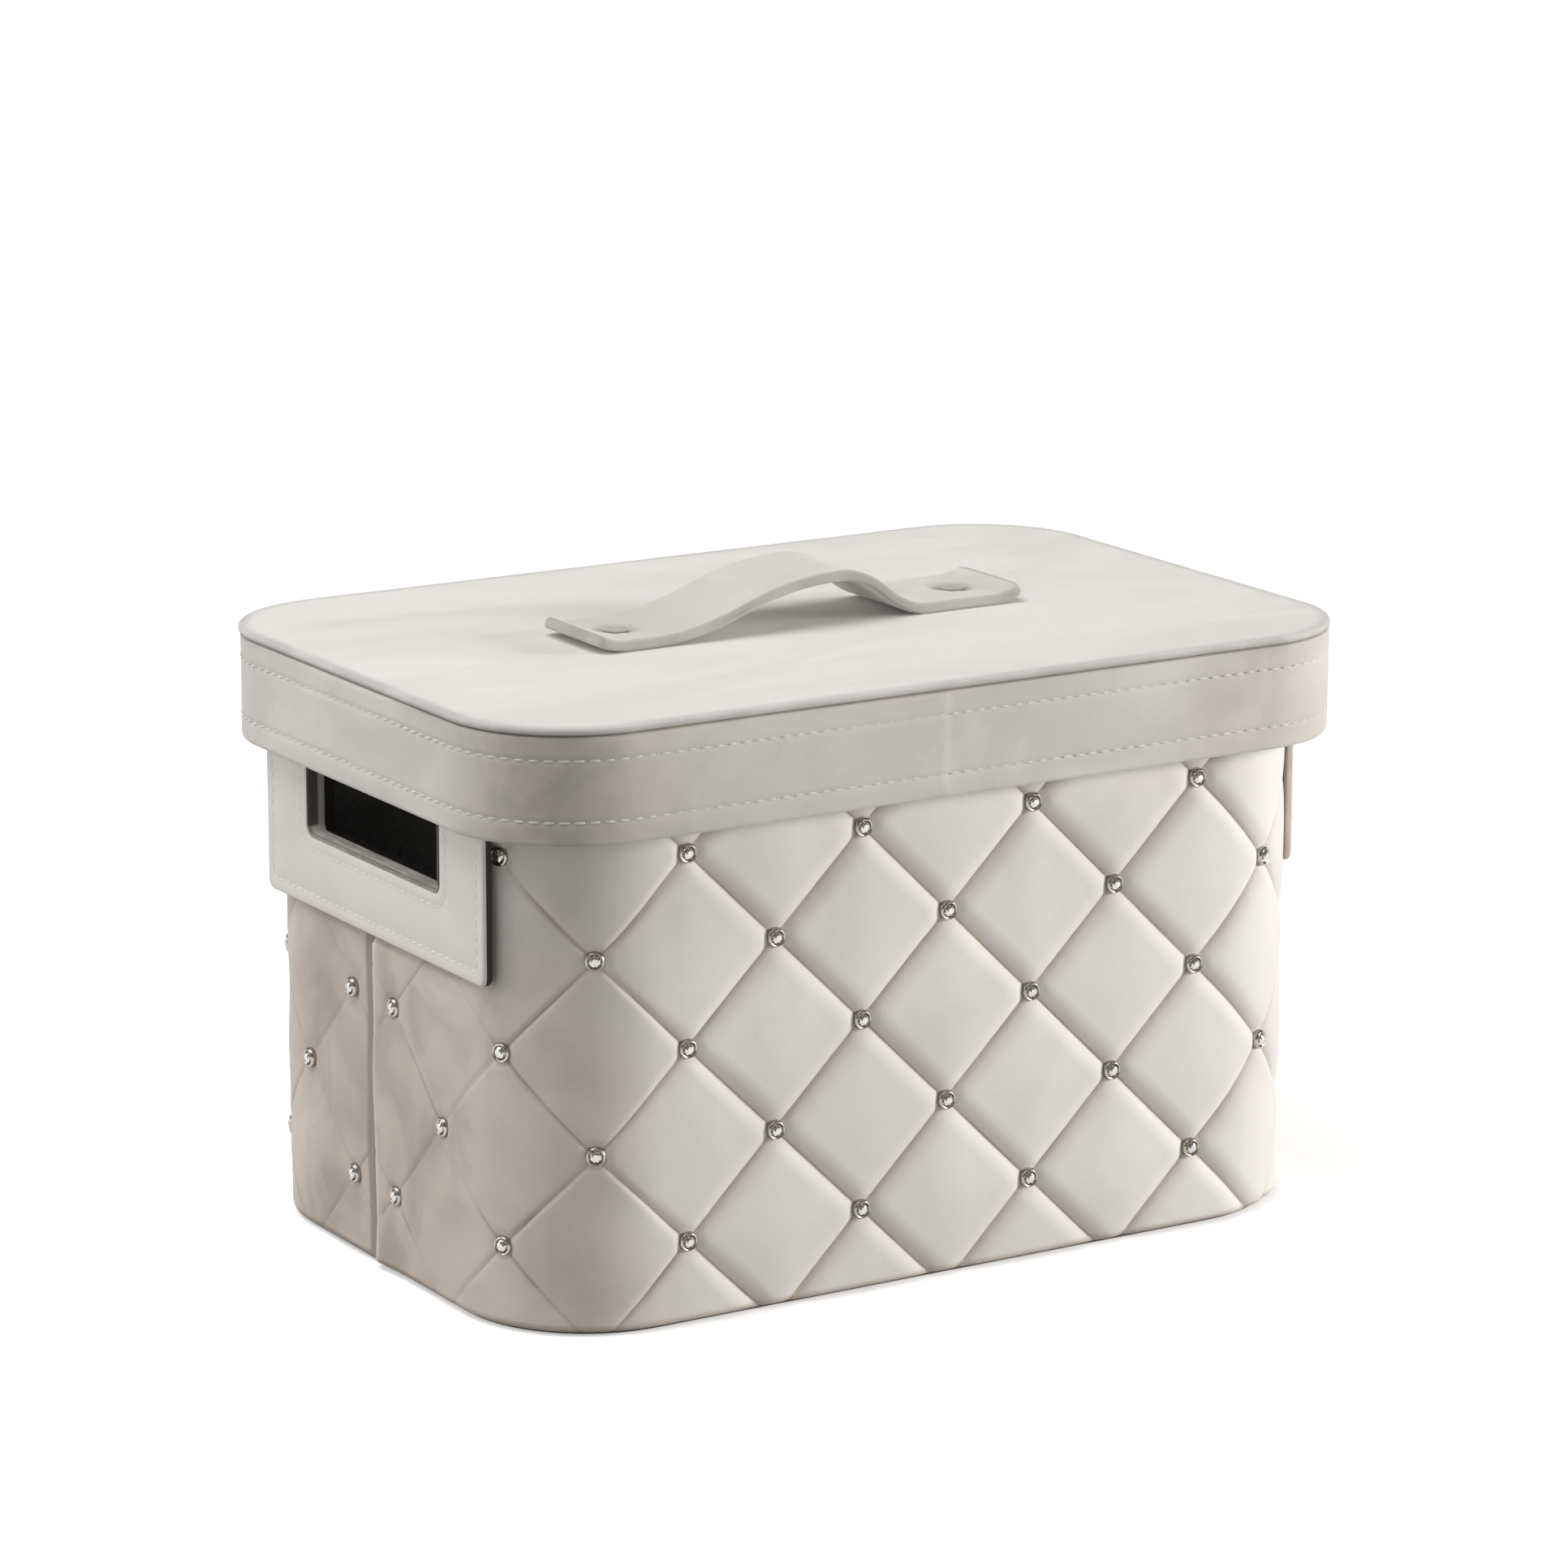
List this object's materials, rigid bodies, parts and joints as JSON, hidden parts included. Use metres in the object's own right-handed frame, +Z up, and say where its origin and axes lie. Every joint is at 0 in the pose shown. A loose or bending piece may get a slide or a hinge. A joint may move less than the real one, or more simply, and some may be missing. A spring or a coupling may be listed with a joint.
{
  "type": "accessory box",
  "caption": "Rounded rectangular storage box in quilted diamonds with ringed crystals, a deep stitched lift-off lid with an arched strap handle, and hand-holes in its short sides.",
  "frame": {"origin": "on the floor under the middle of the box", "axes": "+X along the long sides, front facing -Y, +Z up towards the lid"},
  "size_m": [0.34, 0.228, 0.227],
  "materials": {
    "quilted_suede": "soft ivory suede, quilted over padding",
    "plain_suede": "soft ivory suede with faint cloudy nap",
    "lining": "grey short-pile lining cloth",
    "base_sheet": "dark felted sheet",
    "board": "raw grey board",
    "bezel": "polished silver",
    "crystal": "clear faceted stone",
    "covered_rivet": "head covered in ivory suede",
    "washer": "plain steel"
  },
  "bodies": {
    "box": {"base_cover": "base_sheet", "base_board": "board", "base_lining": "lining", "wall_shell": "board", "wall_lining": "lining", "rim_binding": "plain_suede", "front_cover": "quilted_suede", "back_cover": "quilted_suede", "front_stud_bezels": "bezel", "back_stud_bezels": "bezel", "front_stud_crystals": "crystal", "back_stud_crystals": "crystal", "left_patch": "plain_suede", "right_patch": "plain_suede", "left_patch_backing": "board", "right_patch_backing": "board", "left_hole_sleeve": "plain_suede", "right_hole_sleeve": "plain_suede"},
    "lid": {"lid_panel": "plain_suede", "lid_top_board": "board", "lid_top_lining": "lining", "lid_skirt_board": "board", "lid_skirt_cover": "plain_suede", "lid_skirt_lining": "lining", "strap_handle": "plain_suede", "strap_rivets": "covered_rivet", "strap_washers": "washer"}
  },
  "joints": [
    {"name": "lid_lift", "type": "slide", "parent": "box", "child": "lid", "axis": [0, 0, 1], "range_m": [0, 0.12]}
  ]
}
